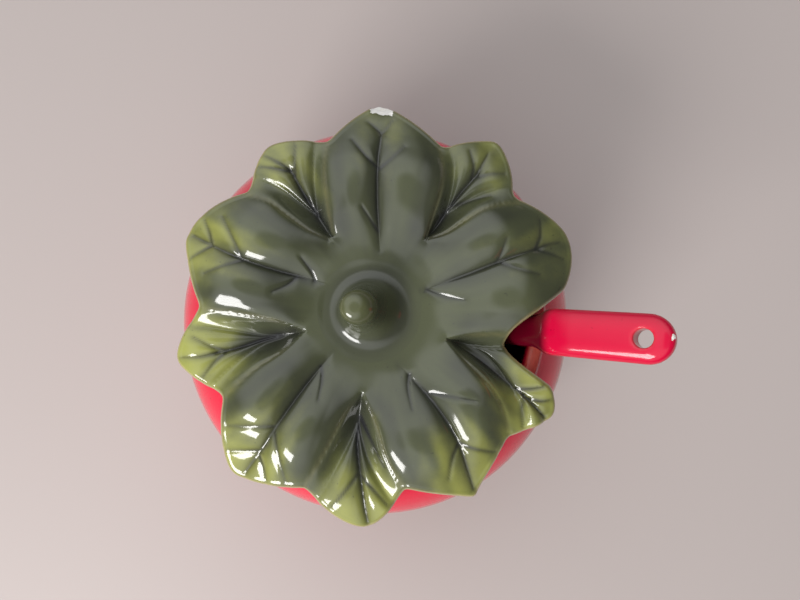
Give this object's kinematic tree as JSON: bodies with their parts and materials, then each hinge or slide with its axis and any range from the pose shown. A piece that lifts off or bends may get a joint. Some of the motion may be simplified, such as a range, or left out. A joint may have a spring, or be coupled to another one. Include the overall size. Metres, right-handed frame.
{
  "type": "covered condiment jar",
  "caption": "Round tomato-shaped glazed jar with a leaf-shaped lid, a stem knob and a ladle that leaves through a notch in the lid.",
  "frame": {"origin": "centre of the flat foot under the jar, on the jar's axis", "axes": "+Z up along the jar's axis; +X towards the ladle's handle; +Y is up in the view from above"},
  "size_m": [0.1195, 0.112, 0.1002],
  "materials": {
    "body_glaze": "glossy tomato red glaze over white earthenware, unglazed foot",
    "leaf_glaze": "glossy olive green glaze, dark in the veins, yellow green at the leaf tips",
    "ladle_glaze": "glossy crimson glaze"
  },
  "bodies": {
    "jar": {"jar_body": "body_glaze"},
    "cover": {"lid": "leaf_glaze"},
    "spoon": {"ladle": "ladle_glaze"}
  },
  "joints": [
    {"name": "lid_lift", "type": "slide", "parent": "jar", "child": "cover", "axis": [0, 0, 1], "range_m": [0, 0.05]},
    {"name": "ladle_lift", "type": "slide", "parent": "jar", "child": "spoon", "axis": [0.454, 0, 0.891], "range_m": [0, 0.04]}
  ]
}
